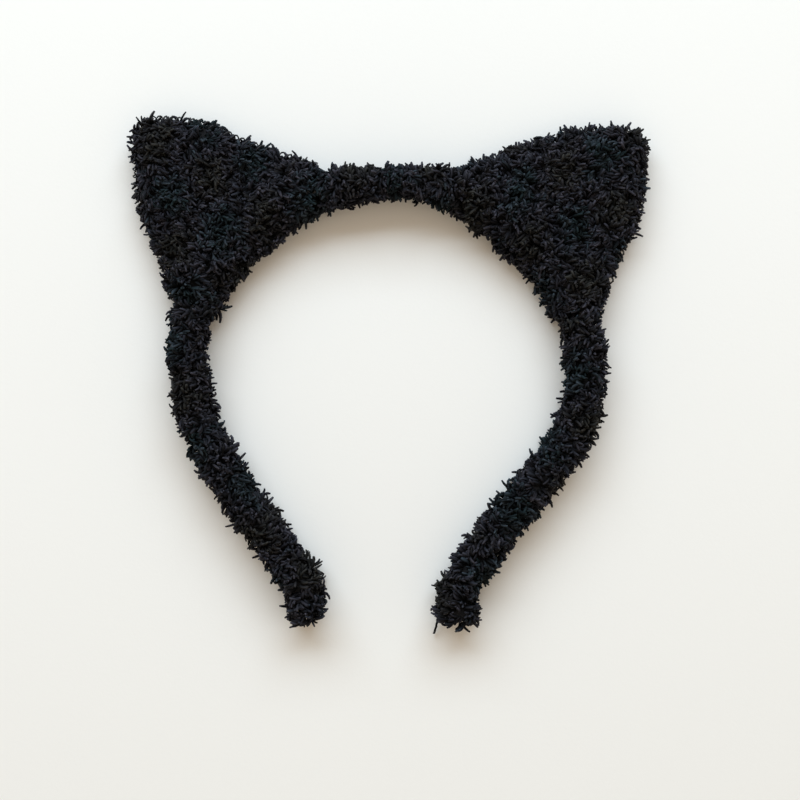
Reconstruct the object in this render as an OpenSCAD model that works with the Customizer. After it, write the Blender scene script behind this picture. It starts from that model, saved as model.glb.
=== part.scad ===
// Animal ears headband: a springy strip bent into an arch, wound with pile yarn, with two
// knitted ears sewn over it. It lies on its back, with the crown towards +Y and the ears' faces up.

/* [Arch] */
// Radius of the crown, to the middle of the strip
crown_r = 71.3; // [59:0.1:86]
// Angle from the top at which the crown meets the tighter side arc
shoulder_angle = 46.4; // [42:0.1:54]
// Radius of the side arc, to the middle of the strip
side_r = 52; // [43:0.1:63]
// Slope of the straight part of each arm, from straight down
arm_slope = 34; // [28:1:41]
// Length of the straight part of each arm
arm_length = 52.4; // [43:0.1:63]
// Bend radius where each tip turns to point down
tip_bend_r = 14; // [11:0.5:17]
// Angle through which each tip turns
tip_turn = 30; // [25:1:34]
// Straight end of each tip, above the glue dab
tip_stub = 0.4; // [0.3:0.1:4]

/* [Strip] */
// Thickness of the plastic strip, seen from the front
strip_t = 2; // [1.6:0.1:3]
// Width of the strip, from back to front
strip_w = 7; // [5.8:0.1:9]
// Angle from the top of the two places where the strip flexes
flex_angle = 17.1; // [14:0.1:20]
// Width of the cut in the strip at each flex point
flex_cut = 0.6; // [0.4:0.1:1.2]

/* [Yarn winding] */
// Depth of yarn on each face of the strip
winding_side = 4.2; // [3.5:0.1:5.5]
// Room between the crown's winding and each ear, for flexing
flex_room = 2; // [1.9:0.1:3]
// Radius of the glue dab on each end of the strip
glue_r = 2.2; // [1.9:0.1:2.7]
// How far the glue dab reaches back along the strip
glue_reach = 2.2; // [1.8:0.1:2.4]

/* [Ears] */
// Height of an ear, from the line between its two ends to its apex
ear_height = 55.4; // [46:0.1:67]
// Shift of the apex along the strip, towards the arm
ear_lean = 1.6; // [-4:0.1:8]
// Rounding of the apex
apex_r = 6.2; // [5.2:0.1:8]
// Angle on the crown arc of the ear's inner end
ear_in_angle = 19.8; // [18:0.1:24]
// Distance of the ear's inner end outside the middle of the strip
ear_in_rise = 1.3; // [0:0.1:2]
// Rounding of the ear's inner end
ear_in_r = 6.9; // [6.4:0.1:8]
// Angle on the side arc of the ear's outer end
ear_out_angle = 68; // [63:0.1:76]
// Rounding of the ear's outer end
ear_out_r = 7.6; // [6.6:0.1:9]
// How far the outer end's rounding runs on before the arm's winding starts
ear_out_reach = 5.9; // [4.9:0.1:6.4]
// Radius of the slight outward bow of the two free edges
edge_bow_r = 250; // [200:1:600]
// Radius of the hollow edge on the head side
base_hollow_r = 82; // [68:1:160]
// Thickness of one knitted panel
panel_t = 2.6; // [2.1:0.1:3.2]
// Thickness of an ear away from the strip
ear_d = 10.8; // [9:0.1:12.8]

/* [Ear frame and sewing] */
// Diameter of the ear wire
wire_d = 1.5; // [1.2:0.1:1.8]
// Bend radius of the hairpin at each foot of the wire
hairpin_r = 1.7; // [1.5:0.1:2.1]
// Length of each foot of the wire along the strip
foot_length = 8; // [6.6:0.1:9.6]
// Thickness of the thread that binds the wire to the strip
binding_t = 0.6; // [0.4:0.1:0.8]
// Length of one binding
binding_length = 2.2; // [1.8:0.1:2.7]
// Bindings on each foot of the wire
binding_count = 2; // [1:1:2]
// Thickness of the overcast seam between the two panels
seam_t = 1.5; // [1.2:0.1:1.8]
// Diameter of the stitches that close the sleeve
stitch_d = 1.2; // [1:0.1:1.5]
// Distance of those stitches from the edge
stitch_inset = 1.6; // [1.3:0.1:2]
// Stitches along the head side of each ear
stitch_count = 6; // [4:1:9]
// Clearance between pieces that lie against each other
fit = 0.15; // [0.1:0.01:0.18]

/* [Hidden] */
$fn = 96;
// Longer than the whole part, for cutting tools
reach = 400;
// How far a cut along the strip runs on past an ear, in degrees
overrun = 6;
// Facets of a long arc that has to stay close to its true curve
fine_facets = 720;
// Flats along each long edge of an ear and round each of its corners
edge_steps = 6;
corner_steps = 9;
// Rings of the winding down the side arc, round the tip's bend and over its nose
side_steps = 8;
tip_steps = 4;
nose_steps = 5;
// How far round the nose of a tip its rings go, short of a point
nose_sweep = 85;
// Flats round each half of the winding, and round the wire
half_steps = 8;
wire_sides = 10;

yarn = [0.10, 0.10, 0.11];
knit = [0.12, 0.12, 0.13];
plastic = [0.16, 0.16, 0.17];
steel = [0.62, 0.63, 0.65];
wadding = [0.80, 0.79, 0.76];
glue = [0.86, 0.82, 0.70];
thread = [0.22, 0.22, 0.24];

// Heights, from the surface the headband lies on
edge_layer = panel_t + binding_t + 2 * fit;
wrap_d = strip_w + 2 * edge_layer;
wrap_w = strip_t + 2 * winding_side;
cavity_top = ear_d - panel_t;
wire_z = ear_d / 2;

// Distances across the strip from its middle: inwards to the head, outwards to the apex
foot_line = strip_t / 2 + fit + wire_d / 2;
binding_in = strip_t / 2 + fit + binding_t;
binding_out = foot_line + wire_d / 2 + fit + binding_t;
channel_in = binding_in + fit;
channel_out = binding_out + fit;

// The arch: the crown's centre, the side arc's centre and the places down the arm
function from_top(angle) = [sin(angle), cos(angle)];
arm_angle = 90 + arm_slope;
tip_slope = arm_slope - tip_turn;
shape_crown = [0, -crown_r];
shape_side = shape_crown + (crown_r - side_r) * from_top(shoulder_angle);
shape_arm = shape_side + side_r * from_top(arm_angle);
shape_arm_end = shape_arm + arm_length * from_top(arm_angle + 90);
shape_tip = shape_arm_end + tip_bend_r * from_top(arm_angle);
shape_stub = shape_tip - tip_bend_r * from_top(90 + tip_slope);
stub_length = tip_stub + glue_reach + fit;
shape_end = shape_stub + stub_length * from_top(180 + tip_slope);

// An ear: the centres of its three rounded corners
shape_in = shape_crown + (crown_r + ear_in_rise) * from_top(ear_in_angle);
shape_out = shape_side + side_r * from_top(ear_out_angle);
base_run = (shape_out - shape_in) / norm(shape_out - shape_in);
base_normal = [-base_run.y, base_run.x];
shape_apex = (shape_in + shape_out) / 2 + (ear_height - apex_r) * base_normal
    + ear_lean * base_run;

// The whole outline is centred on the origin: the apex is the top, the tip is the bottom
lift = [0, -(shape_apex.y + apex_r + shape_end.y - wrap_w / 2) / 2];
crown_c = shape_crown + lift;
side_c = shape_side + lift;
arm_start = shape_arm + lift;
tip_c = shape_tip + lift;
stub_start = shape_stub + lift;
arch_end = shape_end + lift;
in_c = shape_in + lift;
out_c = shape_out + lift;
apex_c = shape_apex + lift;

// The point at given distances from two centres, on the left of the way from a to b
function meet(a, a_distance, b, b_distance) =
    let (
        gap = norm(b - a),
        way = (b - a) / gap,
        along = (gap * gap + a_distance * a_distance - b_distance * b_distance) / (2 * gap),
        off = sqrt(a_distance * a_distance - along * along)
    )
    a + along * way + off * [-way.y, way.x];
function heading(from, to) = atan2(to.y - from.y, to.x - from.x);
function turn(from, to) = (to - from + 720) % 360;
function angle_from_top(centre, point) = 90 - heading(centre, point);

// Centres of the bowed edges and of the hollow edge, each tangent to two corners
bow_top = meet(apex_c, edge_bow_r - apex_r, in_c, edge_bow_r - ear_in_r);
bow_side = meet(out_c, edge_bow_r - ear_out_r, apex_c, edge_bow_r - apex_r);
hollow = meet(out_c, base_hollow_r + ear_out_r, in_c, base_hollow_r + ear_in_r);

// Where the ear stops at the flex point and at the arm
room_sweep = asin(flex_room / 2 / crown_r);
cut_sweep = asin(flex_cut / 2 / crown_r);
ear_start = flex_angle + room_sweep;
ear_end = ear_out_angle + asin(ear_out_reach / side_r);
arm_wrap_start = ear_end + asin(fit / side_r);

// The wire's line, and its hairpins between that line and the strip, clear of the flex point
wire_inset = seam_t + fit + wire_d / 2;
wire_bow_r = edge_bow_r - wire_inset;
hairpin_room = hairpin_r + wire_d / 2 + fit;
hairpin_in_r = crown_r + foot_line + hairpin_r;
foot_in = ear_start + asin(hairpin_room / hairpin_in_r);
hairpin_in = crown_c + hairpin_in_r * from_top(foot_in);
hairpin_out = meet(bow_side, wire_bow_r - hairpin_r, side_c, side_r + foot_line + hairpin_r);
foot_out = angle_from_top(side_c, hairpin_out);
wire_bow_top = meet(apex_c, edge_bow_r - apex_r, hairpin_in, wire_bow_r - hairpin_r);
foot_in_sweep = foot_length / (crown_r + foot_line) * 180 / PI;
foot_out_sweep = foot_length / (side_r + foot_line) * 180 / PI;

// Carries a profile along the crown: x is outwards from the strip's middle, y is height
module along_crown(from, to) {
    translate(crown_c)
        rotate_extrude(angle = to - from, start = 90 - to)
            translate([crown_r, 0])
                children();
}

module along_side(from, to) {
    translate(side_c)
        rotate_extrude(angle = to - from, start = 90 - to)
            translate([side_r, 0])
                children();
}

// A station is a place on a path and the direction that points out of the arch there
function arc_stations(centre, radius, start, sweep, steps, side, first = 0) = [
    for (i = [first:steps])
        let (way = [cos(start + sweep * i / steps), sin(start + sweep * i / steps)])
        [centre + radius * way, side * way]
];
tip_way = from_top(180 + tip_slope);
tip_out = from_top(90 + tip_slope);
arm_stations = concat(
    arc_stations(side_c, side_r, 90 - arm_wrap_start, arm_wrap_start - arm_angle, side_steps, 1),
    arc_stations(tip_c, tip_bend_r, 180 - arm_slope, tip_turn, tip_steps, -1),
);
end_station = [arch_end, tip_out];

// The strip's path inside an ear, from one angle on the crown to another on the side arc
function ear_stations(from, to) = concat(
    arc_stations(crown_c, crown_r, 90 - from, from - shoulder_angle, side_steps, 1),
    arc_stations(side_c, side_r, 90 - shoulder_angle, shoulder_angle - to, side_steps, 1, 1)
);

// The outline of a band along a path, between two distances from its middle
function band_points(path, inner, outer) = concat(
    [for (station = path) station[0] + outer * station[1]],
    reversed([for (station = path) station[0] + inner * station[1]])
);
function reversed(points) = [for (i = [len(points) - 1:-1:0]) points[i]];
pocket_station = [arch_end - (glue_reach + fit) * tip_way, tip_out];

// A ring is a profile set up at a station; a skin joins one ring to the next and closes both ends
function ring(station, profile) = [
    for (point = profile) [
        station[0].x + point.x * station[1].x,
        station[0].y + point.x * station[1].y,
        point.y
    ]
];
module skin(rings) {
    sides = len(rings[0]);
    last = len(rings) - 1;
    points = [for (one = rings) each one];
    walls = [
        for (k = [0:last - 1], j = [0:sides - 1])
            let (next = (j + 1) % sides)
            [k * sides + j, k * sides + next, (k + 1) * sides + next, (k + 1) * sides + j]
    ];
    near_end = [for (j = [sides - 1:-1:0]) j];
    far_end = [for (j = [0:sides - 1]) last * sides + j];
    polyhedron(points, concat([near_end], walls, [far_end]));
}

module strip_profile(room = 0) {
    translate([-strip_t / 2 - room, edge_layer - room])
        square([strip_t + 2 * room, strip_w + 2 * room]);
}

// Flat sides with fully rounded front and back, resting on the surface
module winding_profile() {
    difference() {
        union() {
            translate([0, wrap_w / 2]) circle(d = wrap_w);
            translate([0, wrap_d - wrap_w / 2]) circle(d = wrap_w);
            translate([-wrap_w / 2, wrap_w / 2]) square([wrap_w, wrap_d - wrap_w]);
        }
        strip_profile(fit);
    }
}

// The same outline as points, front half first, drawn in towards its middle by a share
function winding_points(share = 1) = [
    for (half = [1, -1], i = [0:half_steps])
        let (angle = 180 * i / half_steps)
        half * share * [wrap_w / 2 * cos(angle), wrap_d / 2 + wrap_w / 2 * (sin(angle) - 1)]
        + [0, wrap_d / 2]
];

// A rectangle of the same number of points, round the strip or round its glue dab
function hollow_points(half_w, half_d) = [
    for (half = [1, -1], i = [0:half_steps])
        half * [half_w * (1 - 2 * i / half_steps), half_d] + [0, wrap_d / 2]
];
bore_points = hollow_points(strip_t / 2 + fit, strip_w / 2 + fit);
pocket_points = hollow_points(glue_r + fit, strip_w / 2 + binding_t + fit);

module glue_dab() {
    translate([arch_end.x, arch_end.y, edge_layer - binding_t])
        linear_extrude(height = strip_w + 2 * binding_t) {
            circle(r = glue_r);
            rotate(-tip_slope)
                translate([-glue_r, 0])
                    square([2 * glue_r, glue_reach]);
        }
}

// The strip between its two faces, along a path of stations
module strip_along(path, room = 0) {
    half = strip_t / 2 + room;
    translate([0, 0, edge_layer - room])
        linear_extrude(height = strip_w + 2 * room)
            polygon(band_points(path, -half, half));
}

// Points along an arc, from one heading on through a sweep
function arc(centre, radius, start, sweep, steps) = [
    for (i = [0:steps])
        centre + radius * [cos(start + sweep * i / steps), sin(start + sweep * i / steps)]
];

// An arc that leaves one tangent circle's line and joins another's
function tangent_arc(centre, radius, from, to, steps) =
    let (start = heading(centre, from), sweep = turn(start, heading(centre, to)))
    arc(centre, radius, start, sweep, steps);
function corner_arc(centre, radius, from, to) =
    arc(centre, radius, from, turn(from, to), corner_steps);

// The outline of an ear, made smaller by an inset: three corners, two bowed edges, one hollow
function ear_points(inset) = concat(
    tangent_arc(bow_side, edge_bow_r - inset, out_c, apex_c, edge_steps),
    corner_arc(apex_c, apex_r - inset, heading(bow_side, apex_c), heading(bow_top, apex_c)),
    tangent_arc(bow_top, edge_bow_r - inset, apex_c, in_c, edge_steps),
    corner_arc(in_c, ear_in_r - inset, heading(bow_top, in_c), heading(in_c, hollow)),
    reversed(tangent_arc(hollow, base_hollow_r + inset, out_c, in_c, edge_steps)),
    corner_arc(out_c, ear_out_r - inset, heading(out_c, hollow), heading(bow_side, out_c))
);

// An ear's outline, cut off across the strip near the flex point and near the arm
module ear_outline(inset = 0, start = ear_start, end = ear_end) {
    difference() {
        polygon(ear_points(inset));
        translate(crown_c)
            rotate(-start)
                translate([-reach, -reach])
                    square([reach, 2 * reach]);
        translate(side_c)
            rotate(-end)
                translate([0, -reach])
                    square([reach, 2 * reach]);
    }
}

module ear_slab(bottom, top, inset = 0) {
    translate([0, 0, bottom])
        linear_extrude(height = top - bottom)
            ear_outline(inset);
}

// Everything on the head side of a line just outside the strip and its bindings
module strip_side_cut() {
    path = ear_stations(flex_angle - overrun, ear_end + overrun);
    linear_extrude(height = wrap_d)
        polygon(band_points(path, -side_r / 2, channel_out));
}

// A band over the strip's path in an ear, from side to side of the channel and a margin more
module channel_band(margin = 0) {
    path = ear_stations(flex_angle, ear_end + overrun);
    polygon(band_points(path, -channel_in - margin, channel_out + margin));
}

module core_crown() {
    color(plastic)
        along_crown(cut_sweep - flex_angle, flex_angle - cut_sweep)
            strip_profile();
}

module core_right() {
    path = concat(
        ear_stations(flex_angle + cut_sweep, arm_wrap_start),
        [for (i = [1:len(arm_stations) - 1]) arm_stations[i]],
        [end_station]
    );
    color(plastic) strip_along(path);
}

module wrap_crown() {
    color(yarn)
        along_crown(room_sweep - flex_angle, flex_angle - room_sweep)
            winding_profile();
}

// From the blind end of the glue pocket up the bore, over the top and down to the nose
module wrap_arm_right() {
    pocket_end = [arch_end + (glue_r + fit) * tip_way, tip_out];
    inside = concat(
        [for (station = arm_stations) ring(station, bore_points)],
        [ring(pocket_station, bore_points), ring(pocket_station, pocket_points)],
        [ring(pocket_end, pocket_points)]
    );
    nose = [
        for (i = [1:nose_steps])
            let (angle = nose_sweep * i / nose_steps)
            ring([arch_end + wrap_w / 2 * sin(angle) * tip_way, tip_out],
                winding_points(cos(angle)))
    ];
    outside = [for (station = concat(arm_stations, [end_station])) ring(station, winding_points())];
    color(yarn) skin(concat(reversed(inside), outside, nose));
}

module glue_cap_right() {
    color(glue)
        difference() {
            glue_dab();
            strip_along(concat(arm_stations, [end_station]), fit);
        }
}

// The wire runs from one foot round a hairpin, up to the apex and down to the other foot
module ear_wire_right() {
    top_leg_in = heading(wire_bow_top, hairpin_in);
    top_leg_apex = heading(wire_bow_top, apex_c);
    side_leg_apex = heading(bow_side, apex_c);
    side_leg_out = heading(bow_side, hairpin_out);
    in_heel = heading(hairpin_in, crown_c);
    out_heel = heading(hairpin_out, side_c);
    in_turn = -turn(top_leg_in, in_heel);
    top_turn = -turn(top_leg_apex, top_leg_in);
    apex_turn = -turn(side_leg_apex, top_leg_apex);
    side_turn = -turn(side_leg_out, side_leg_apex);
    out_turn = -turn(out_heel, side_leg_out);
    in_foot_r = crown_r + foot_line;
    out_foot_r = side_r + foot_line;
    in_foot_start = 90 - foot_in - foot_in_sweep;
    stations = concat(
        arc_stations(crown_c, in_foot_r, in_foot_start, foot_in_sweep, 2, 1),
        arc_stations(hairpin_in, hairpin_r, in_heel, in_turn, corner_steps, -1, 1),
        arc_stations(wire_bow_top, wire_bow_r, top_leg_in, top_turn, edge_steps, -1, 1),
        arc_stations(apex_c, apex_r - wire_inset, top_leg_apex, apex_turn, corner_steps, -1, 1),
        arc_stations(bow_side, wire_bow_r, side_leg_apex, side_turn, edge_steps, -1, 1),
        arc_stations(hairpin_out, hairpin_r, side_leg_out, out_turn, corner_steps, -1, 1),
        arc_stations(side_c, out_foot_r, 90 - foot_out, foot_out_sweep, 2, 1, 1)
    );
    bar = [
        for (j = [0:wire_sides - 1])
            let (angle = 360 * j / wire_sides)
            [wire_d / 2 * cos(angle), wire_z + wire_d / 2 * sin(angle)]
    ];
    color(steel) skin([for (station = stations) ring(station, bar)]);
}

module binding_profile() {
    difference() {
        translate([-binding_in, edge_layer - fit - binding_t])
            square([binding_in + binding_out, strip_w + 2 * (fit + binding_t)]);
        translate([-strip_t / 2 - fit, edge_layer - fit])
            square([binding_in + binding_out - 2 * binding_t, strip_w + 2 * fit]);
    }
}

module wire_binding_right() {
    in_sweep = binding_length / crown_r * 180 / PI;
    out_sweep = binding_length / side_r * 180 / PI;
    color(thread)
        for (i = [1:binding_count]) {
            share = i / (binding_count + 1);
            in_at = foot_in + foot_in_sweep * share;
            out_at = foot_out - foot_out_sweep * share;
            along_crown(in_at - in_sweep / 2, in_at + in_sweep / 2) binding_profile();
            along_side(out_at - out_sweep / 2, out_at + out_sweep / 2) binding_profile();
        }
}

// The wadding lies inside the wire and stops at its hairpins
module ear_padding_right() {
    wire_room = wire_d / 2 + fit;
    color(wadding)
        difference() {
            translate([0, 0, panel_t + fit])
                linear_extrude(height = cavity_top - panel_t - 2 * fit)
                    intersection() {
                        ear_outline(wire_inset + wire_room, foot_in, foot_out);
                        translate(wire_bow_top) circle(r = wire_bow_r - wire_room, $fn = fine_facets);
                    }
            strip_side_cut();
            for (centre = [hairpin_in, hairpin_out])
                translate(centre) cylinder(r = hairpin_room, h = wrap_d);
        }
}

module ear_back_right() {
    color(knit) ear_slab(0, panel_t);
}

// The front panel lies flat, and rises over the strip, the wire's feet and their bindings
module ear_front_right() {
    color(knit)
        difference() {
            union() {
                ear_slab(cavity_top, ear_d);
                translate([0, 0, cavity_top])
                    linear_extrude(height = wrap_d - cavity_top)
                        intersection() {
                            ear_outline();
                            channel_band(panel_t);
                        }
            }
            linear_extrude(height = wrap_d - panel_t) channel_band();
        }
}

module edge_seam_right() {
    color(thread)
        difference() {
            ear_slab(panel_t, cavity_top);
            ear_slab(0, wrap_d, seam_t);
            strip_side_cut();
        }
}

module base_stitches_right() {
    from = heading(hollow, out_c);
    sweep = turn(from, heading(hollow, in_c));
    color(thread)
        for (i = [1:stitch_count]) {
            at = from + sweep * i / (stitch_count + 1);
            translate(hollow)
                rotate(at)
                    translate([base_hollow_r + stitch_inset, 0, panel_t])
                        cylinder(d = stitch_d, h = cavity_top - panel_t);
        }
}

// The left side is the right side's mirror image
module left() {
    mirror([1, 0, 0]) children();
}

core_crown();
wrap_crown();
left() core_right();  // core_left
left() glue_cap_right();  // glue_cap_left
left() wrap_arm_right();  // wrap_arm_left
left() ear_wire_right();  // ear_wire_left
left() wire_binding_right();  // wire_binding_left
left() ear_padding_right();  // ear_padding_left
left() ear_back_right();  // ear_back_left
left() ear_front_right();  // ear_front_left
left() edge_seam_right();  // edge_seam_left
left() base_stitches_right();  // base_stitches_left
core_right();
glue_cap_right();
wrap_arm_right();
ear_wire_right();
wire_binding_right();
ear_padding_right();
ear_back_right();
ear_front_right();
edge_seam_right();
base_stitches_right();
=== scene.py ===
import bpy
import numpy as np
from mathutils import Matrix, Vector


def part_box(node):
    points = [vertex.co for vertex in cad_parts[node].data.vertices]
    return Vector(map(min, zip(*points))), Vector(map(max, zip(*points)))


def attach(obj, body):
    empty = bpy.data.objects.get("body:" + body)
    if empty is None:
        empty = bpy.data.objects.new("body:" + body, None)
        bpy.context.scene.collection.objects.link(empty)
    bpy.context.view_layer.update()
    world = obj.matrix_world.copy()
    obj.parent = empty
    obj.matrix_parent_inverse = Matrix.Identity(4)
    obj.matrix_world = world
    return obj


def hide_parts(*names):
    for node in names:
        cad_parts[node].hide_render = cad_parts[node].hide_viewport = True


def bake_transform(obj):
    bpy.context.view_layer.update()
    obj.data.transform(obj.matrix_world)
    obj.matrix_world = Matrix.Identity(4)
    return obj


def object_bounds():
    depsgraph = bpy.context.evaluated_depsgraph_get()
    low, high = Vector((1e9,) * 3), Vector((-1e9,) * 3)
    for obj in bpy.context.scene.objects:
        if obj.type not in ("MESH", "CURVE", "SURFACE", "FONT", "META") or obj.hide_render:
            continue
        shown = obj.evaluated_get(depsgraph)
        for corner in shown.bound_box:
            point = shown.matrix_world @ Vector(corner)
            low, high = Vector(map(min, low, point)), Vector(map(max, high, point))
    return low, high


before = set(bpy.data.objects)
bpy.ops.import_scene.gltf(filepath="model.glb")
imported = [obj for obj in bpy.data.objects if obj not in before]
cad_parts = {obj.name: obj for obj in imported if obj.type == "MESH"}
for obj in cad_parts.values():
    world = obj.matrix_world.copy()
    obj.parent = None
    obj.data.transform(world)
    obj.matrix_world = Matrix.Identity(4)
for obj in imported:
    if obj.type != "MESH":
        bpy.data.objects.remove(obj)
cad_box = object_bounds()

# ---- The surface it lies on, the light and the camera
# The headband lies on its back on a pale matt board that turns up round the edge into a backdrop,
# in soft daylight that comes mostly from beyond the crown, and is seen from straight above.
BOARD_HUB = 0.02
BOARD_FLAT = 1.9
BOARD_BEND = 1.0
BOARD_SIDES = 96
BOARD_RINGS = 24
TABLE_WHITE = (0.872, 0.868, 0.830)
TABLE_SHADE = (0.850, 0.846, 0.805)
SKY = (1.0, 0.83, 0.66)
SKY_STRENGTH = 0.58
DAYLIGHT = (0.70, 0.85, 1.0)
WINDOW_PLACE = (-0.1, 1.2, 1.0)
WINDOW_SIZE = (2.2, 0.88)
WINDOW_POWER = 35.6
VIEW_WIDTH = 0.2620
VIEW_OFFSET = (0.0050, -0.0091)
VIEW_TURN = 1.25
LENS = 70.0


class Shade:
    """A socket of one material's nodes: sums and products of shades add Math nodes."""

    def __init__(self, tree, socket=None):
        self.tree = tree
        self.socket = socket

    def node(self, kind, settings=None, inputs=None, output=0):
        """Adds a node, its settings first and then its inputs, and gives one of its outputs."""
        made = self.tree.nodes.new("ShaderNode" + kind)
        for key, value in (settings or {}).items():
            if key == "stops":
                ramp = made.color_ramp
                while len(ramp.elements) < len(value):
                    ramp.elements.new(0.5)
                for stop, (place, colour) in zip(ramp.elements, value):
                    stop.position = place
                    stop.color = (*colour, 1.0)
            else:
                setattr(made, key, value)
        for key, value in (inputs or {}).items():
            if isinstance(value, Shade):
                self.tree.links.new(value.socket, made.inputs[key])
            elif isinstance(value, tuple) and made.inputs[key].type == "RGBA":
                made.inputs[key].default_value = (*value, 1.0)
            else:
                made.inputs[key].default_value = value
        return Shade(self.tree, made.outputs[output])

    def maths(self, operation, *values):
        inputs = dict(enumerate(values))
        return self.node("Math", {"operation": operation}, inputs)

    def __add__(self, other):
        return self.maths("ADD", self, other)

    def __sub__(self, other):
        return self.maths("SUBTRACT", self, other)

    def __rsub__(self, other):
        return self.maths("SUBTRACT", other, self)

    def __mul__(self, other):
        return self.maths("MULTIPLY", self, other)

    def __truediv__(self, other):
        return self.maths("DIVIDE", self, other)

    def __pow__(self, other):
        return self.maths("POWER", self, other)

    __radd__ = __add__
    __rmul__ = __mul__

    def noise(self, place, scale, detail=3.0, roughness=0.55):
        """Soft random mottling, 0 to 1, of blobs about one over scale metres across."""
        inputs = {"Vector": place, "Scale": scale, "Detail": detail, "Roughness": roughness}
        return self.node("TexNoise", {}, inputs)

    def stretched(self, place, scale):
        """The place drawn out along each axis by its own factor."""
        return self.node("Mapping", {"vector_type": "POINT"}, {"Vector": place, "Scale": scale})

    def between(self, share, low, high):
        """The colour a share of the way from low to high."""
        inputs = {0: share, 6: low, 7: high}
        return self.node("Mix", {"data_type": "RGBA"}, inputs, 2)

    def bump(self, height, distance, strength=1.0):
        """The surface's direction, tilted by a height whose full swing is a distance in metres."""
        inputs = {"Height": height, "Distance": distance, "Strength": strength}
        return self.node("Bump", {}, inputs)


def finish(name, paint):
    """A material whose Principled shader takes what paint works out from the surface's place."""
    material = bpy.data.materials.new(name)
    material.use_nodes = True
    tree = material.node_tree
    tree.nodes.clear()
    shade = Shade(tree)
    place = shade.node("TexCoord", {}, {}, "Object")
    surface = shade.node("BsdfPrincipled", {}, paint(shade, place))
    output = tree.nodes.new("ShaderNodeOutputMaterial")
    tree.links.new(surface.socket, output.inputs["Surface"])
    return material


def paint_table(shade, place):
    clouds = shade.noise(place, 3.0, 2.0)
    grain = shade.noise(place, 900.0, 2.0)
    return {
        "Base Color": shade.between(clouds, TABLE_WHITE, TABLE_SHADE),
        "Roughness": 0.62 + 0.1 * grain,
        "Normal": shade.bump(grain, 0.00006, 0.4),
        "Specular IOR Level": 0.3,
    }


# The board is turned about the upright: flat out to one radius, then a quarter circle upwards.
bend = np.linspace(0, np.pi / 2, BOARD_RINGS)
board_out = np.concatenate([[BOARD_HUB], BOARD_FLAT + BOARD_BEND * np.sin(bend)])
board_up = np.concatenate([[0.0], BOARD_BEND * (1 - np.cos(bend))])
board_turn = np.linspace(0, 2 * np.pi, BOARD_SIDES, endpoint=False)
board_points = np.stack([
    board_out[:, None] * np.cos(board_turn),
    board_out[:, None] * np.sin(board_turn),
    board_up[:, None] + 0 * board_turn,
], -1).reshape(-1, 3)
this_side = np.arange(BOARD_SIDES)
next_side = (this_side + 1) % BOARD_SIDES
ring_start = np.arange(BOARD_RINGS)[:, None] * BOARD_SIDES
board_faces = np.stack([
    ring_start + this_side,
    ring_start + BOARD_SIDES + this_side,
    ring_start + BOARD_SIDES + next_side,
    ring_start + next_side,
], -1).reshape(-1, 4)
table_mesh = bpy.data.meshes.new("table_top")
table_mesh.from_pydata(board_points.tolist(), [], [*board_faces.tolist(), this_side.tolist()])
table_mesh.shade_smooth()
table_top = bpy.data.objects.new("table_top", table_mesh)
bpy.context.scene.collection.objects.link(table_top)
table_mesh.materials.append(finish("pale_table", paint_table))

world = bpy.data.worlds.new("daylight")
world.use_nodes = True
sky = world.node_tree.nodes["Background"]
sky.inputs["Color"].default_value = (*SKY, 1.0)
sky.inputs["Strength"].default_value = SKY_STRENGTH
bpy.context.scene.world = world
bpy.context.scene.view_settings.view_transform = "Standard"

lamp = bpy.data.lights.new("window", "AREA")
lamp.shape = "RECTANGLE"
lamp.size, lamp.size_y = WINDOW_SIZE
lamp.energy = WINDOW_POWER
lamp.color = DAYLIGHT
window = bpy.data.objects.new("window", lamp)
bpy.context.scene.collection.objects.link(window)
window.location = WINDOW_PLACE
window.rotation_euler = window.location.to_track_quat("Z", "Y").to_euler()

lens = bpy.data.cameras.new("camera")
lens.lens = LENS
camera = bpy.data.objects.new("camera", lens)
bpy.context.scene.collection.objects.link(camera)
middle = (cad_box[0] + cad_box[1]) / 2
distance = VIEW_WIDTH * LENS / lens.sensor_width
camera.location = (middle.x + VIEW_OFFSET[0], middle.y + VIEW_OFFSET[1], middle.z + distance)
camera.rotation_euler = (0.0, 0.0, np.radians(VIEW_TURN))
bpy.context.scene.camera = camera


# ---- The strip
# A flat moulded plastic strip in three lengths, sprung into the arch. It is matt black with faint
# drawing lines along it. It is wholly wound over, so only the finish is given here.
def paint_plastic(shade, place):
    lines = shade.noise(shade.stretched(place, (60.0, 60.0, 2200.0)), 1.0, 4.0)
    mottle = shade.noise(place, 260.0)
    return {
        "Base Color": shade.between(mottle, (0.016, 0.016, 0.018), (0.030, 0.030, 0.033)),
        "Roughness": 0.34 + 0.22 * lines,
        "Normal": shade.bump(lines, 0.00005, 0.5),
    }


plastic = finish("matt_plastic", paint_plastic)
for node in ("core_crown", "core_left", "core_right"):
    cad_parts[node].data.materials.clear()
    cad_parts[node].data.materials.append(plastic)


# ---- The glue
# A dab of hot melt glue on each end of the strip holds the end of the winding: cloudy, yellowish
# and a little shiny, with small bubbles.
def paint_glue(shade, place):
    cloud = shade.noise(place, 700.0, 3.0)
    bubbles = shade.node("TexVoronoi", {}, {"Vector": place, "Scale": 1500.0})
    return {
        "Base Color": shade.between(cloud, (0.70, 0.60, 0.38), (0.84, 0.77, 0.58)),
        "Roughness": 0.20 + 0.18 * cloud,
        "Normal": shade.bump(bubbles, 0.0001, 0.35),
        "Subsurface Weight": 0.25,
        "Subsurface Radius": (0.002, 0.0016, 0.0010),
    }


glue = finish("hot_melt", paint_glue)
for node in ("glue_cap_left", "glue_cap_right"):
    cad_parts[node].data.materials.clear()
    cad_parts[node].data.materials.append(glue)


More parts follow.
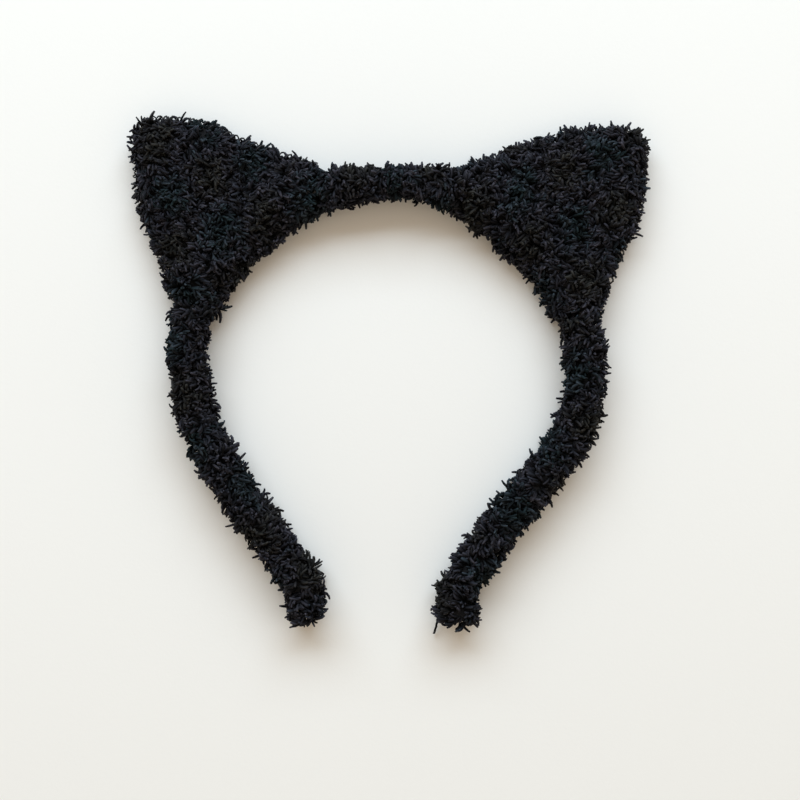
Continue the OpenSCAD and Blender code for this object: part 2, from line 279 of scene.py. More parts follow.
# ---- The yarn winding
# Black pile yarn wound round the strip in coils side by side, over the crown and down each arm
# to a closed tip. The yarn's core is a soft rope, and short thick fingers of pile stand out of it
# all round and hide it.
SHOULDER = 46.4
CROWN_R = 0.0713
SIDE_R = 0.052
FLEX = 17.1
ARM_FROM = 74.68
ARM_SLOPE = 34.0
ARM_LENGTH = 0.0524
TIP_R = 0.014
TIP_TURN = 30.0
TIP_STUB = 0.00275
HALF_STRIP = 0.001
WINDING_W = 0.0104
WINDING_D = 0.0140
PILE_ROOM = 0.0015
COIL_PITCH = 0.0068
COIL_DEPTH = 0.0013
STEP = 0.0001
# The winding was done by hand: it sways slowly from side to side of the strip, and it is thinner
# at the top of the crown. SWAY_IN is how far along each arm it lies furthest in.
SWAY = 0.0011
SWAY_LENGTH = 0.090
SWAY_IN = {-1: 0.100, 1: 0.170}
CROWN_THIN = 0.0012
CROWN_THIN_LENGTH = 0.012
CREST_SHARPNESS = 0.7
CREST_MIDDLE = 0.6
WANDER = 0.0003
RING_SQUARENESS = 0.85

crown_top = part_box("core_crown")[1].y
crown_centre = np.array([0.0, crown_top - HALF_STRIP - CROWN_R])


def arch(side):
    """The line down the middle of the strip from the top of the crown to the end of one arm, as
    points, headings and outward directions at even steps. The heading turns steadily on each arc
    and holds on each straight, and the points are the running sum of the steps."""
    bends = (
        (np.radians(SHOULDER) * CROWN_R, -SHOULDER),
        (np.radians(90 + ARM_SLOPE - SHOULDER) * SIDE_R, SHOULDER - 90 - ARM_SLOPE),
        (ARM_LENGTH, 0.0),
        (np.radians(TIP_TURN) * TIP_R, TIP_TURN),
        (TIP_STUB + WINDING_W, 0.0),
    )
    lengths = np.array([length for length, turn in bends])
    turns = np.radians([turn for length, turn in bends])
    ends = np.concatenate([[0.0], np.cumsum(lengths)])
    headings = np.concatenate([[0.0], np.cumsum(turns)])
    run = np.arange(0.0, ends[-1], STEP)
    heading = np.interp(run, ends, headings)
    middle_heading = (heading[1:] + heading[:-1]) / 2
    x = np.concatenate([[0.0], np.cumsum(np.cos(middle_heading) * STEP)])
    y = np.concatenate([[0.0], np.cumsum(np.sin(middle_heading) * STEP)])
    points = np.stack([side * x, y + crown_centre[1] + CROWN_R], 1)
    outward = np.stack([-side * np.sin(heading), np.cos(heading)], 1)
    return run, points, outward, ends


def place_along(run, arc_run, values):
    """Each column of values, read at places along the arch."""
    return np.stack([np.interp(run, arc_run, column) for column in values.T], -1)


def winding(side, run, angle, closes_at):
    """The skin of the wound yarn at places along the arch and angles round it. Across the strip it
    is a flattened ring, deeper than it is wide, and it swells and dips with the coils, whose phase
    climbs along the arch and falls once round the ring. It sways as a cosine of the way along the
    arch and is thinned at the crown by a bell. Past closes_at it rounds off to a point."""
    arc_run, points, outward, ends = arches[side]
    beyond = np.clip((run - closes_at) / (WINDING_W / 2 - PILE_ROOM), 0.0, 1.0)
    shrink = np.sqrt(1.0 - beyond**2)
    uneven = 0.16 * np.sin(run * 173.0 + side) + 0.10 * np.sin(run * 417.0 - 2.0 * side)
    phase = run / COIL_PITCH - side * angle / (2 * np.pi) + uneven
    crest = np.abs(np.cos(np.pi * phase)) ** CREST_SHARPNESS - CREST_MIDDLE
    wander = WANDER * np.sin(run * 260.0 + 2.0 * side + np.sin(angle))
    sway = -SWAY * np.cos(2 * np.pi * (run - SWAY_IN[side]) / SWAY_LENGTH)
    swell = -CROWN_THIN * np.exp(-((run / CROWN_THIN_LENGTH) ** 2))
    half_w = (WINDING_W / 2 - PILE_ROOM + COIL_DEPTH * crest + wander + swell) * shrink
    half_d = (WINDING_D / 2 - PILE_ROOM + COIL_DEPTH * crest) * shrink
    across = np.sign(np.cos(angle)) * np.abs(np.cos(angle)) ** RING_SQUARENESS * half_w + sway
    up = np.sign(np.sin(angle)) * np.abs(np.sin(angle)) ** RING_SQUARENESS * half_d
    centre = place_along(run, arc_run, points)
    out = place_along(run, arc_run, outward)
    height = WINDING_D / 2 + up
    return np.concatenate([centre + out * across[..., None], height[..., None]], -1)


def skin_mesh(name, points, faces):
    """A smooth mesh of these points and faces, turned over if the room it closes is negative."""
    corners = points[faces[:, :3]]
    room = np.einsum("ij,ij->i", corners[:, 0], np.cross(corners[:, 1], corners[:, 2])).sum()
    if room < 0:
        faces = faces[:, ::-1]
    mesh = bpy.data.meshes.new(name)
    mesh.from_pydata(points.tolist(), [], [[*dict.fromkeys(face)] for face in faces.tolist()])
    mesh.shade_smooth()
    piece = bpy.data.objects.new(name, mesh)
    bpy.context.scene.collection.objects.link(piece)
    return piece


def closed_tube(name, rings):
    """Rings of points joined each to the next, with a fan from a middle point at each end."""
    count, sides = rings.shape[:2]
    points = np.concatenate([rings.reshape(-1, 3), rings[0].mean(0)[None], rings[-1].mean(0)[None]])
    row = np.arange(count - 1)[:, None] * sides
    here = np.arange(sides)
    there = (here + 1) % sides
    walls = np.stack([row + here, row + sides + here, row + sides + there, row + there], -1)
    near = np.stack([there, there, np.full(sides, count * sides), here], -1)
    last = (count - 1) * sides
    far = np.stack([last + here, last + here, np.full(sides, count * sides + 1), last + there], -1)
    return skin_mesh(name, points, np.concatenate([walls.reshape(-1, 4), near, far]))


FIBRE_SIDES = 4


def fibres(name, lines, radii, tints, material):
    """Many short soft rods in one mesh. Each line is a row of points; round each point goes a ring
    of corners at that radius, square to the line, and a face closes each end. The texture map runs
    along a rod in u, and in v over a narrow band at the rod's own tint."""
    count, rings = lines.shape[:2]
    along = np.gradient(lines, axis=1)
    along /= np.linalg.norm(along, axis=-1, keepdims=True)
    least = np.eye(3)[np.abs(along.mean(1)).argmin(-1)][:, None]
    across = np.cross(along, least)
    across /= np.linalg.norm(across, axis=-1, keepdims=True)
    other = np.cross(along, across)
    turn = 2 * np.pi * np.arange(FIBRE_SIDES) / FIBRE_SIDES
    ring = across[:, :, None] * np.cos(turn)[:, None] + other[:, :, None] * np.sin(turn)[:, None]
    points = lines[:, :, None] + ring * radii[:, :, None, None]
    here = np.arange(FIBRE_SIDES)
    there = (here + 1) % FIBRE_SIDES
    row = np.arange(rings - 1)[:, None] * FIBRE_SIDES
    walls = np.stack([row + here, row + there, row + FIBRE_SIDES + there, row + FIBRE_SIDES + here], -1)
    last = (rings - 1) * FIBRE_SIDES
    one = np.concatenate([walls.reshape(-1, 4), here[None, ::-1], last + here[None]])
    corners = (np.arange(count)[:, None, None] * rings * FIBRE_SIDES + one).reshape(-1)
    mesh = bpy.data.meshes.new(name)
    mesh.vertices.add(count * rings * FIBRE_SIDES)
    mesh.vertices.foreach_set("co", points.astype(np.float32).ravel())
    mesh.loops.add(len(corners))
    mesh.loops.foreach_set("vertex_index", corners.astype(np.int32))
    mesh.polygons.add(len(corners) // 4)
    mesh.polygons.foreach_set("loop_start", np.arange(0, len(corners), 4, dtype=np.int32))
    mesh.update(calc_edges=True)
    mesh.shade_smooth()
    share = np.linspace(0.02, 0.98, rings)
    step = np.arange(rings - 1)[:, None]
    band = 0.04 * np.abs(np.arange(FIBRE_SIDES + 1) - FIBRE_SIDES / 2) / (FIBRE_SIDES / 2)
    u = np.stack([share[step + k] + 0 * here for k in (0, 0, 1, 1)], -1).reshape(-1, 4)
    v = np.stack([band[here + k] + 0 * step for k in (0, 1, 1, 0)], -1).reshape(-1, 4)
    u = np.concatenate([u, [[0.0, 0.01, 0.01, 0.0], [0.99, 1.0, 1.0, 0.99]]]).reshape(-1)
    v = np.concatenate([v, [[0.0, 0.0, 0.02, 0.02], [0.0, 0.0, 0.02, 0.02]]]).reshape(-1)
    uv = np.stack([np.tile(u, count), np.tile(v, count) + np.repeat(tints, len(v)) * 0.95], -1)
    layer = mesh.uv_layers.new(name="OFBake")
    layer.data.foreach_set("uv", uv.astype(np.float32).ravel())
    mesh.materials.append(material)
    piece = bpy.data.objects.new(name, mesh)
    bpy.context.scene.collection.objects.link(piece)
    return piece


PILE_POINTS = 5
PILE_RADIUS = 0.00041
PILE_PROFILE = np.array([0.95, 1.12, 1.14, 1.02, 0.70])
TABLE_GAP = 0.0002
PILE_SHORTEST = 0.0025
PILE_LONGEST = 0.0046
IN_A_TUFT = 8
LAY_PULL = 1.4
TUFT_RISE = 0.0015
ROOT_SINK = 0.0006
COMB_SPREAD = 0.32
TUFT_FAN = 0.7
LEAN, LEAN_SPREAD, LEAN_MOST = 22, 13, 70
STAND_LEAN = 8
CURL, CURL_SPREAD, CURL_LEAST, CURL_MOST = 84, 32, 10, 220
SWING_SPREAD = 42
STRAYS, STRAY_LENGTH = 0.02, 1.3
PATCH_WAVES = ([140.0, 220.0, 90.0], [-280.0, 120.0, 0.0])
PATCH_TINT = 0.2
TUFT_TINT = 0.07
STRAND_TINT = 0.05


def unit(vectors):
    return vectors / (np.linalg.norm(vectors, axis=-1, keepdims=True) + 1e-12)


def pile(name, roots, normals, lay, seed, material):
    """Fingers of pile that stand on a skin in tufts, each a root plus the running sum of short
    steps. A finger sets out at a lean off the skin's normal, towards its tuft's side and mostly
    along the lay, and then turns over steadily and swings round the normal, so that it curls. None
    goes below the table."""
    chance = np.random.default_rng(seed)
    count = len(roots)
    heads = roots[chance.choice(count, count // IN_A_TUFT, replace=False)]
    tuft = np.concatenate([
        np.linalg.norm(part[:, None] - heads[None], axis=-1).argmin(1)
        for part in np.array_split(roots, count // 500 + 1)
    ])
    comb = chance.normal(size=(len(heads), 3))[tuft] + chance.normal(0, COMB_SPREAD, (count, 3))
    comb += lay * LAY_PULL * chance.choice([-1.0, 1.0], (len(heads), 1))[tuft]
    comb += unit(roots - heads[tuft]) * TUFT_FAN
    across = unit(comb - normals * np.einsum("ij,ij->i", comb, normals)[:, None])
    side = np.cross(normals, across)
    stand = chance.normal(0, 1, len(heads))[tuft]
    lean = LEAN - STAND_LEAN * stand + chance.normal(0, LEAN_SPREAD, count)
    lean = np.radians(np.clip(lean, 0, LEAN_MOST))[:, None]
    curl = chance.normal(CURL, CURL_SPREAD, (count, 1))
    curl = np.radians(np.clip(curl, CURL_LEAST, CURL_MOST))
    swing = np.radians(chance.normal(0, SWING_SPREAD, (count, 1)))
    share = np.linspace(0, 1, PILE_POINTS)
    middles = (share[1:] + share[:-1]) / 2
    over = (lean + curl * middles)[..., None]
    turned = (swing * middles)[..., None]
    flat = across[:, None] * np.cos(turned) + side[:, None] * np.sin(turned)
    steps = normals[:, None] * np.cos(over) + flat * np.sin(over)
    length = chance.uniform(PILE_SHORTEST, PILE_LONGEST, count)
    length = np.where(chance.random(count) < STRAYS, length * STRAY_LENGTH, length)
    length = length[:, None, None]
    way = np.concatenate([np.zeros((count, 1, 3)), np.cumsum(steps, 1)], 1) / (PILE_POINTS - 1)
    rise = (TUFT_RISE * np.clip(0.45 + 0.5 * stand, 0, 1) - ROOT_SINK)[:, None]
    lines = (roots + normals * rise)[:, None] + length * way
    thick = PILE_RADIUS * chance.uniform(0.75, 1.15, count)[:, None]
    radii = thick * PILE_PROFILE
    lowest = radii + TABLE_GAP + 0.0001 * chance.random((count, 1))
    lines[..., 2] = np.maximum(lines[..., 2], lowest)
    patch = np.sin(roots @ PATCH_WAVES[0] + seed) + np.sin(roots @ PATCH_WAVES[1])
    own = chance.normal(0, TUFT_TINT, len(heads))[tuft] + chance.normal(0, STRAND_TINT, count)
    tint = np.clip(0.5 + PATCH_TINT * patch + own, 0, 1)
    return fibres(name, lines, radii, tint, material)


PILE_GREY = 0.0150


def paint_pile(shade, place):
    spot = shade.node("UVMap", {"uv_map": "OFBake"}, {})
    along = spot.node("SeparateXYZ", {}, {"Vector": spot})
    tint = Shade(shade.tree, along.socket.node.outputs["Y"])
    browns, greys, teals = (1.06, 1.04, 0.86), (0.94, 0.92, 1.26), (0.52, 1.04, 1.16)
    lights = (0.40, 2.1, 0.40, 1.7, 0.30, 3.0, 0.50, 2.1, 0.30, 2.9, 0.4, 1.7, 0.3)
    hues = np.linspace(0, 2, len(lights))
    stops = [
        (
            0.04 + 0.92 * k / (len(lights) - 1),
            tuple(
                PILE_GREY * light * float(np.interp(hue, [0, 1, 2], channel))
                for channel in zip(browns, greys, teals)
            ),
        )
        for k, (hue, light) in enumerate(zip(hues, lights))
    ]
    tone = shade.node("ValToRGB", {"stops": stops}, {"Fac": tint})
    # Painted shade: each finger's colour is scaled by how far along it the point lies, near black at the
    # root and lighter towards the tip, standing in for the shade down among the fingers of pile.
    depth = 0.05 + 1.35 * along**1.5
    painted_root_shade = shade.node("CombineXYZ", {}, {"X": depth, "Y": depth, "Z": depth})
    colour = shade.node("VectorMath", {"operation": "MULTIPLY"}, {0: tone, 1: painted_root_shade})
    return {
        "Base Color": colour,
        "Roughness": 0.78 + 0.12 * tint,
        "Specular IOR Level": 0.10,
    }


def paint_core(shade, place):
    strands = shade.noise(shade.stretched(place, (1.0, 1.6, 1.0)), 1400.0, 4.0)
    return {
        "Base Color": shade.between(strands, (0.003, 0.003, 0.0035), (0.010, 0.010, 0.011)),
        "Roughness": 0.85 + 0.1 * strands,
        "Normal": shade.bump(strands, 0.0004, 0.8),
        "Specular IOR Level": 0.2,
    }


yarn_pile = finish("yarn_pile", paint_pile)
yarn_core = finish("yarn_core", paint_core)
arches = {side: arch(side) for side in (-1, 1)}
SIDES = (("left", -1), ("right", 1))
GOLDEN = (0.7548776662466927, 0.5698402909980532)
RING_SIDES = 40
RING_STEP = 0.0007
PILE_PER_M2 = 1.28e6
WINDING_ROUND = 0.0370
NEVER = 1.0


def wound(name, side, start, stop, seed, closes_at=NEVER):
    """A length of the winding: its core as a closed tube, and its pile on evenly spread roots."""
    nose = WINDING_W / 2 - PILE_ROOM
    end = min(stop, closes_at + nose * 0.995)
    run = np.linspace(start, end, int((end - start) / RING_STEP))
    angle = np.linspace(0, 2 * np.pi, RING_SIDES, endpoint=False)
    grid = np.meshgrid(run, angle, indexing="ij")
    core = closed_tube(name + "_core", winding(side, *grid, closes_at))
    core.data.materials.append(yarn_core)
    count = int((end - start) * WINDING_ROUND * PILE_PER_M2)
    chance = np.random.default_rng(seed)
    spread = (np.arange(count)[:, None] * GOLDEN + chance.normal(0, 0.006, (count, 2))) % 1.0
    run, angle = start + (end - start) * spread[:, 0], 2 * np.pi * spread[:, 1]
    beyond = np.clip((run - closes_at) / nose, 0, 1)
    kept = chance.random(count) < np.sqrt(1 - beyond**2) + 0.15
    run, angle = run[kept], angle[kept]
    roots = winding(side, run, angle, closes_at)
    nudge = 0.0001
    forward = winding(side, run + nudge, angle, closes_at) - winding(side, run - nudge, angle, closes_at)
    around = winding(side, run, angle + 0.02, closes_at) - winding(side, run, angle - 0.02, closes_at)
    normals = np.cross(forward, around)
    normals /= np.linalg.norm(normals, axis=1, keepdims=True) + 1e-12
    centre = winding(side, np.minimum(run, closes_at), angle + np.pi, closes_at)
    normals *= np.sign(np.einsum("ij,ij->i", normals, roots - centre))[:, None]
    fingers = pile(name + "_pile", roots, normals, unit(around), seed + 1, yarn_pile)
    return core, fingers


flex_run = np.radians(FLEX) * CROWN_R
shoulder_run = np.radians(SHOULDER) * CROWN_R
arm_run = shoulder_run + np.radians(ARM_FROM - SHOULDER) * SIDE_R
tip_run = arches[1][3][4] + TIP_STUB
COLLAR = 0.0026
TUCK = 0.0014

for name, side in SIDES:
    core, fingers = wound("winding_arm_" + name, side, arm_run - TUCK, 1.0, 40 + side, tip_run)
    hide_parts("wrap_arm_" + name)
    for piece in (core, fingers):
        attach(piece, name + "_side")

# The yarn's cut end comes out of the winding beside the right tip and lies down to the table. Its
# root is measured from the tip of the strip, and its reach from the root, in x, y and height.
TAIL_ROOT = (-0.0062, -0.0015, 0.0034)
TAIL_REACH = (-0.0011, -0.0072, -0.0022)
TAIL_BOW = 0.0003
TAIL_POINTS = 7
TAIL_TURNS = 1.5
PLIES = 3
PLY_ROUND = 0.00021
PLY_RADIUS = 0.00024
right_tip = place_along(tip_run, arches[1][0], arches[1][1])
tail_from = np.array([*right_tip, 0.0]) + TAIL_ROOT
share = np.linspace(0, 1, TAIL_POINTS)
twist = 2 * np.pi * (np.arange(PLIES)[:, None] / PLIES + TAIL_TURNS * share)
tail_lines = tail_from + np.array(TAIL_REACH) * share[None, :, None] + np.stack([
    PLY_ROUND * np.cos(twist) + TAIL_BOW * np.sin(np.pi * share), 0 * twist, PLY_ROUND * np.sin(twist)
], -1)
tail_radii = np.full(tail_lines.shape[:2], PLY_RADIUS)
tail = fibres("yarn_end_right", tail_lines, tail_radii, np.array([0.3, 0.5, 0.7]), yarn_pile)
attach(tail, "right_side")

for name, side in SIDES:
    core, fingers = wound("winding_crown_" + name, side, 0.0, flex_run + COLLAR, 60 + side)
    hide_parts("wrap_crown")
    for piece in (core, fingers):
        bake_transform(piece)


# ---- The ear wires and the thread that binds them
# A bent steel wire in each ear holds its outline; each of its feet lies along the strip and is
# bound to it with black thread. Both are inside the ear, so only their finishes are given here.
def paint_steel(shade, place):
    drawn = shade.noise(shade.stretched(place, (1.0, 1.0, 9.0)), 900.0, 4.0)
    spots = shade.noise(place, 320.0)
    return {
        "Base Color": shade.between(spots, (0.42, 0.42, 0.43), (0.60, 0.60, 0.61)),
        "Metallic": 1.0,
        "Roughness": 0.24 + 0.20 * drawn,
        "Normal": shade.bump(drawn, 0.00002, 0.5),
    }


def paint_thread(shade, place):
    turns = shade.node(
        "TexWave",
        {"wave_type": "BANDS", "bands_direction": "DIAGONAL"},
        {"Vector": place, "Scale": 520.0, "Distortion": 1.5, "Detail": 2.0},
    )
    fuzz = shade.noise(place, 2600.0)
    return {
        "Base Color": shade.between(turns, (0.006, 0.006, 0.007), (0.030, 0.030, 0.033)),
        "Roughness": 0.62 + 0.2 * fuzz,
        "Normal": shade.bump(turns, 0.00015, 0.7),
        "Sheen Weight": 0.1,
    }


steel = finish("spring_steel", paint_steel)
thread = finish("sewing_thread", paint_thread)
for name, side in SIDES:
    for node, material in (("ear_wire_", steel), ("wire_binding_", thread)):
        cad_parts[node + name].data.materials.clear()
        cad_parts[node + name].data.materials.append(material)


# ---- The ear covers
# Each ear is a stuffed pocket of pile knit: a front and a back panel sewn together round the edge
# and drawn over the strip. It is full in the middle and over the strip, and thin at the seam.
SEAM_HEIGHT = 0.0058
FRONT_RISE = 0.0030
BACK_DROP = 0.0036
STRIP_RISE = 0.0028
STRIP_SPREAD = 0.0075
ROUND_EDGE = 0.0075
OUTLINE_POINTS = 150
POCKET_RINGS = 14
VOXEL = 0.0016
SIM_SCALE = 10.0
SCALE_UP = Matrix.Scale(SIM_SCALE, 4)
SIM_FRAMES = 20
SIM_PRESSURE = 4.0
MOST_SWELL = 0.0012
KNIT_ROW = 0.0026
KNIT_STITCH = 0.0034
KNIT_DEPTH = 0.00035
EAR_PILE = 9300
EAR_SPARE_ROOTS = 1.7
EAR_IN = 0.0002


def edge_of(node):
    """The outline of a flat CAD node as even steps, from its lowest points sorted round their
    middle."""
    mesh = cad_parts[node].data
    points = np.zeros(len(mesh.vertices) * 3)
    mesh.vertices.foreach_get("co", points)
    points = points.reshape(-1, 3)
    points = np.unique(np.round(points[points[:, 2] < points[:, 2].min() + 1e-5][:, :2], 7), axis=0)
    middle = (points.min(0) + points.max(0)) / 2
    way = points - middle
    points = points[np.argsort(np.arctan2(way[:, 1], way[:, 0]))]
    loop = np.concatenate([points, points[:1]])
    run = np.concatenate([[0.0], np.cumsum(np.linalg.norm(np.diff(loop, axis=0), axis=1))])
    even = np.linspace(0, run[-1], OUTLINE_POINTS, endpoint=False)
    return place_along(even, run, loop)


EAR_MIDDLE = (0.0575, 0.052)
# Soft bumps in the sewn outline, each an angle in degrees from the outer side, a spread in degrees
# and a height in millimetres: the full outer side, the blunt tip, the top edge, the arch side and
# the foot. The ears differ in one, the upper edge, which is high on the right and low on the left.
EAR_BUMPS = ((7, 27, 2.1), (50, 12, -2.0), (84, 14, 1.3), (210, 23, 1.6), (279, 11, 0.8))
UPPER_EDGE = (125, 30, 1.1)


def bell(degrees, middle, spread, height):
    """A bell of the angle from its middle, taken the short way round the circle."""
    away = (degrees - middle + 180) % 360 - 180
    return height * np.exp(-((away / spread) ** 2))


def hand_sewn(outline, side):
    """The outline as this ear was sewn: each point moved out from the ear's middle by the sum of
    the bumps at the angle there."""
    way = (outline - [side * EAR_MIDDLE[0], EAR_MIDDLE[1]]) * [side, 1]
    degrees = np.degrees(np.arctan2(way[:, 1], way[:, 0]))
    by = sum(bell(degrees, *shape) for shape in EAR_BUMPS) + side * bell(degrees, *UPPER_EDGE)
    return outline + unit(way) * [side, 1] * by[:, None] / 1000


def inset(outline, by):
    """The outline moved inwards, each point along the normal of the chord through its
    neighbours."""
    chord = np.roll(outline, -1, 0) - np.roll(outline, 1, 0)
    normal = np.stack([-chord[:, 1], chord[:, 0]], 1)
    normal /= np.linalg.norm(normal, axis=1, keepdims=True)
    return outline + normal * by


def nearest(points, line):
    """How far each point is from the nearest of a line's points."""
    return np.linalg.norm(points[:, None] - line[None], axis=-1).min(1)


def pocket(name, outline, side, rise, drop, seam_height):
    """A closed stuffed form on an outline. Rings shrink from the outline to its middle; over each
    point the front rises and the back drops by a quarter-ellipse of the distance in from the
    outline, and the front rises more over the strip, as a bell of the distance from it."""
    middle = (outline.min(0) + outline.max(0)) / 2
    shares = np.sin(np.linspace(np.pi / 2, 0, POCKET_RINGS, endpoint=False))
    flat = middle + (outline - middle) * shares[:, None, None]
    depth = nearest(flat.reshape(-1, 2), outline).reshape(flat.shape[:2])
    full = np.clip(depth / ROUND_EDGE, 0, 1)
    bulge = np.sqrt(1 - (1 - full) ** 2)
    strip = arches[side][1][:: int(0.001 / STEP)]
    away = nearest(flat.reshape(-1, 2), strip).reshape(flat.shape[:2])
    ridge = np.exp(-((away / STRIP_SPREAD) ** 2))
    top = seam_height + (rise + STRIP_RISE * ridge) * bulge
    low = seam_height - drop * bulge
    front = np.concatenate([flat, top[..., None]], -1)
    back = np.concatenate([flat, low[..., None]], -1)
    return closed_tube(name, np.concatenate([front[::-1], back[1:]]))


def stuff(piece, most):
    """Blows the pocket up with Blender's cloth. The work is done at ten times the size, on an
    even mesh, and no point is left further than most from where it started."""
    scene = bpy.context.scene
    piece.data.transform(SCALE_UP)
    even = piece.modifiers.new("even", "REMESH")
    even.mode = "VOXEL"
    even.voxel_size = VOXEL * SIM_SCALE
    keep_shape(piece)
    start = points_of(piece)
    cloth = piece.modifiers.new("stuffing", "CLOTH")
    cloth.settings.use_pressure = True
    cloth.settings.uniform_pressure_force = SIM_PRESSURE
    cloth.settings.effector_weights.gravity = 0.0
    cloth.point_cache.frame_end = SIM_FRAMES
    for step in range(1, SIM_FRAMES + 1):
        scene.frame_set(step)
        bpy.context.evaluated_depsgraph_get()
    keep_shape(piece)
    scene.frame_set(1)
    moved = points_of(piece) - start
    size = np.linalg.norm(moved, axis=1, keepdims=True)
    held = start + moved * np.minimum(1.0, most * SIM_SCALE / np.maximum(size, 1e-9))
    piece.data.vertices.foreach_set("co", (held / SIM_SCALE).astype(np.float32).ravel())
    finer = piece.modifiers.new("finer", "SUBSURF")
    finer.levels = finer.render_levels = 1
    keep_shape(piece)


def keep_shape(piece):
    """Puts what the modifiers make of a piece into its mesh, and takes them off."""
    made = bpy.data.meshes.new_from_object(
        piece.evaluated_get(bpy.context.evaluated_depsgraph_get())
    )
    piece.modifiers.clear()
    piece.data = made
    made.shade_smooth()


def points_of(piece, what="co"):
    values = np.zeros(len(piece.data.vertices) * 3)
    piece.data.vertices.foreach_get(what, values)
    return values.reshape(-1, 3)


def paint_knit(shade, place):
    rows = shade.node(
        "TexWave",
        {"wave_type": "BANDS", "bands_direction": "Y"},
        {"Vector": place, "Scale": 0.31 / KNIT_ROW / 10, "Distortion": 3.0, "Detail": 2.0},
    )
    loops = shade.noise(place, 1100.0, 3.0)
    return {
        "Base Color": shade.between(loops, (0.003, 0.003, 0.0035), (0.011, 0.011, 0.012)),
        "Roughness": 0.86 + 0.1 * loops,
        "Normal": shade.bump(rows + loops, 0.0003, 0.8),
        "Specular IOR Level": 0.2,
    }


knit_ground = finish("knit_ground", paint_knit)
knit_pile = finish("knit_pile", paint_pile)

for name, side in SIDES:
    outline = inset(hand_sewn(edge_of("ear_back_" + name), side), EAR_IN)
    cover = pocket("ear_cover_" + name, outline, side, FRONT_RISE, BACK_DROP, SEAM_HEIGHT)
    stuff(cover, MOST_SWELL)
    place = points_of(cover)
    rows = np.cos(2 * np.pi * place[:, 1] / KNIT_ROW) * np.cos(2 * np.pi * place[:, 0] / KNIT_STITCH)
    place += points_of(cover, "normal") * (rows * KNIT_DEPTH)[:, None]
    place[:, 2] = np.maximum(place[:, 2], PILE_ROOM)
    cover.data.vertices.foreach_set("co", place.astype(np.float32).ravel())
    cover.data.update()
    cover.data.materials.clear()
    cover.data.materials.append(knit_ground)

    cover.data.calc_loop_triangles()
    corners = np.zeros(len(cover.data.loop_triangles) * 3, np.int32)
    cover.data.loop_triangles.foreach_get("vertices", corners)
    corners = corners.reshape(-1, 3)
    a, b, c = (place[corners[:, k]] for k in range(3))
    area = np.linalg.norm(np.cross(b - a, c - a), axis=1)
    share = np.cumsum(area) / area.sum()
    chance = np.random.default_rng(80 + side)
    wanted = int(EAR_PILE * EAR_SPARE_ROOTS)
    pick = np.minimum(np.searchsorted(share, chance.random(wanted)), len(share) - 1)
    first, second = chance.random((2, wanted, 1))
    fold = first + second > 1
    first, second = np.where(fold, 1 - first, first), np.where(fold, 1 - second, second)
    roots = a[pick] + (b - a)[pick] * first + (c - a)[pick] * second
    facing = points_of(cover, "normal")[corners[pick]].mean(1)
    facing /= np.linalg.norm(facing, axis=1, keepdims=True)
    row = 0.5 + 0.5 * np.cos(2 * np.pi * roots[:, 1] / KNIT_ROW + 0.8 * np.sin(roots[:, 0] * 300))
    kept = chance.random(wanted) < 0.35 + 0.55 * row
    roots, facing = roots[kept], facing[kept]
    rows_run = np.array([1.0, 0.25 * side, 0.0])
    for part, chosen in (("front", facing[:, 2] > 0), ("back", facing[:, 2] <= 0)):
        fingers = pile(
            f"ear_{part}_pile_{name}", roots[chosen], facing[chosen], rows_run, 100 + side, knit_pile
        )
        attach(fingers, name + "_side")
    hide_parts("ear_front_" + name, "ear_back_" + name)
    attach(cover, name + "_side")


# ---- The ear seams
# The two panels are overcast together round the edge with black thread, one slanting loop after
# another over the edge, and a row of small stitches closes the pocket under the strip.
OVERCAST = 84
OVERCAST_REACH = 0.0021
OVERCAST_SLANT = 0.0026
THREAD_R = 0.00028
LOOP_POINTS = 7


def loops(outline, height, reach, slant, count):
    """Loops of thread over an edge: half circles that stand square to the outline, from under it,
    round the outside, to above it, with each end drawn along the edge by the slant."""
    run = np.arange(count) / count * len(outline)
    chord = unit(np.roll(outline, -1, 0) - np.roll(outline, 1, 0))
    closed = np.arange(len(outline) + 1)
    edge = place_along(run, closed, np.concatenate([outline, outline[:1]]))
    way = unit(place_along(run, closed, np.concatenate([chord, chord[:1]])))
    out = np.stack([way[:, 1], -way[:, 0]], 1)
    angle = np.linspace(-0.62, 0.62, LOOP_POINTS) * np.pi
    flat = edge[:, None] + out[:, None] * reach * (np.cos(angle) - 0.55)[:, None]
    flat = flat + way[:, None] * slant * (angle / np.pi)[:, None]
    up = height + reach * np.sin(angle) + 0 * flat[..., 0]
    return np.concatenate([flat, up[..., None]], -1)


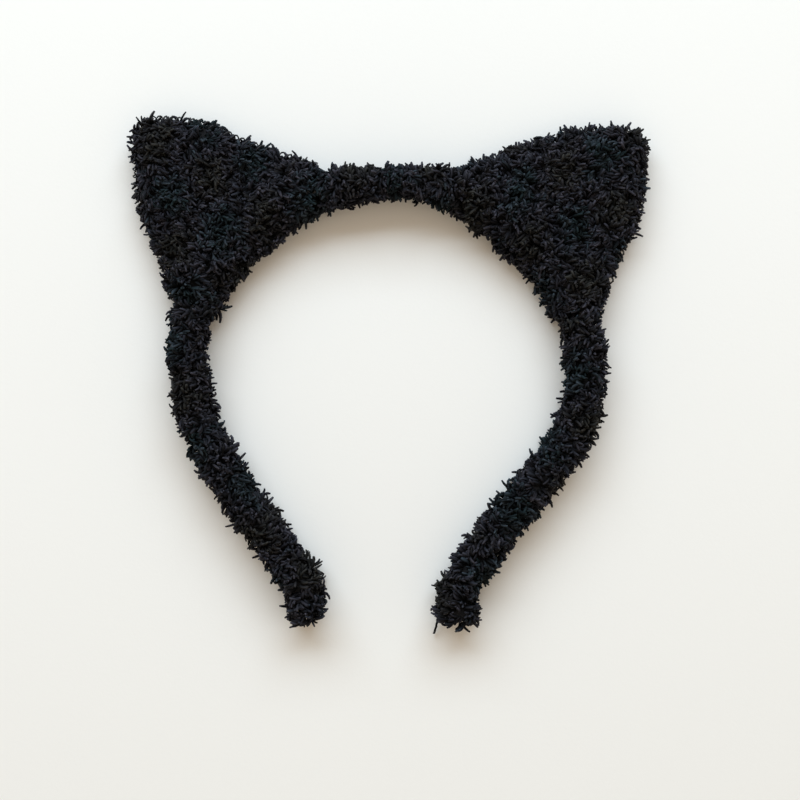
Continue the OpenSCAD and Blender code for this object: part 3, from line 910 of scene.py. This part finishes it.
def paint_stitches(shade, place):
    spot = shade.node("UVMap", {"uv_map": "OFBake"}, {})
    along = spot.node("SeparateXYZ", {}, {"Vector": spot})
    ply = shade.maths("SINE", 70.0 * along)
    return {
        "Base Color": shade.between(0.5 + 0.5 * ply, (0.004, 0.004, 0.005), (0.026, 0.026, 0.029)),
        "Roughness": 0.6 + 0.1 * ply,
        "Specular IOR Level": 0.3,
    }


stitch_thread = finish("stitch_thread", paint_stitches)
for name, side in SIDES:
    outline = hand_sewn(edge_of("ear_back_" + name), side)
    lines = loops(outline, SEAM_HEIGHT, OVERCAST_REACH, OVERCAST_SLANT, OVERCAST)
    radii = np.full(lines.shape[:2], THREAD_R)
    seam = fibres("ear_seam_" + name, lines, radii, np.linspace(0, 1, OVERCAST), stitch_thread)
    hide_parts("edge_seam_" + name)
    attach(seam, name + "_side")
    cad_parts["base_stitches_" + name].data.materials.clear()
    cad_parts["base_stitches_" + name].data.materials.append(thread)


# ---- The wadding
# Each ear is filled with a soft pad of white polyester wadding that lies inside the wire.
PAD_EDGE = 0.0044
PAD_SHRINK = 0.94
PAD_RISE = 0.0018
PAD_SWELL = 0.0006


def paint_wadding(shade, place):
    tufts = shade.noise(shade.stretched(place, (1.0, 1.0, 2.0)), 420.0, 5.0)
    hairs = shade.noise(shade.stretched(place, (2.5, 1.0, 1.0)), 2400.0, 3.0)
    return {
        "Base Color": shade.between(tufts, (0.70, 0.69, 0.66), (0.86, 0.85, 0.82)),
        "Roughness": 0.85 + 0.1 * hairs,
        "Normal": shade.bump(tufts + 0.4 * hairs, 0.0005, 0.7),
        "Sheen Weight": 0.2,
    }


polyester = finish("polyester_wadding", paint_wadding)
for name, side in SIDES:
    low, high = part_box("ear_padding_" + name)
    outline = inset(edge_of("ear_back_" + name), PAD_EDGE)
    size = outline.max(0) - outline.min(0)
    fit = np.array([high.x - low.x, high.y - low.y]) / size
    outline = (outline - outline.min(0)) * np.minimum(fit, PAD_SHRINK) + [low.x, low.y]
    outline += (np.array([high.x - low.x, high.y - low.y]) - (outline.max(0) - outline.min(0))) / 2
    pad = pocket("ear_pad_" + name, outline, side, PAD_RISE, PAD_RISE, (low.z + high.z) / 2)
    stuff(pad, PAD_SWELL)
    pad.data.materials.clear()
    pad.data.materials.append(polyester)
    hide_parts("ear_padding_" + name)
    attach(pad, name + "_side")
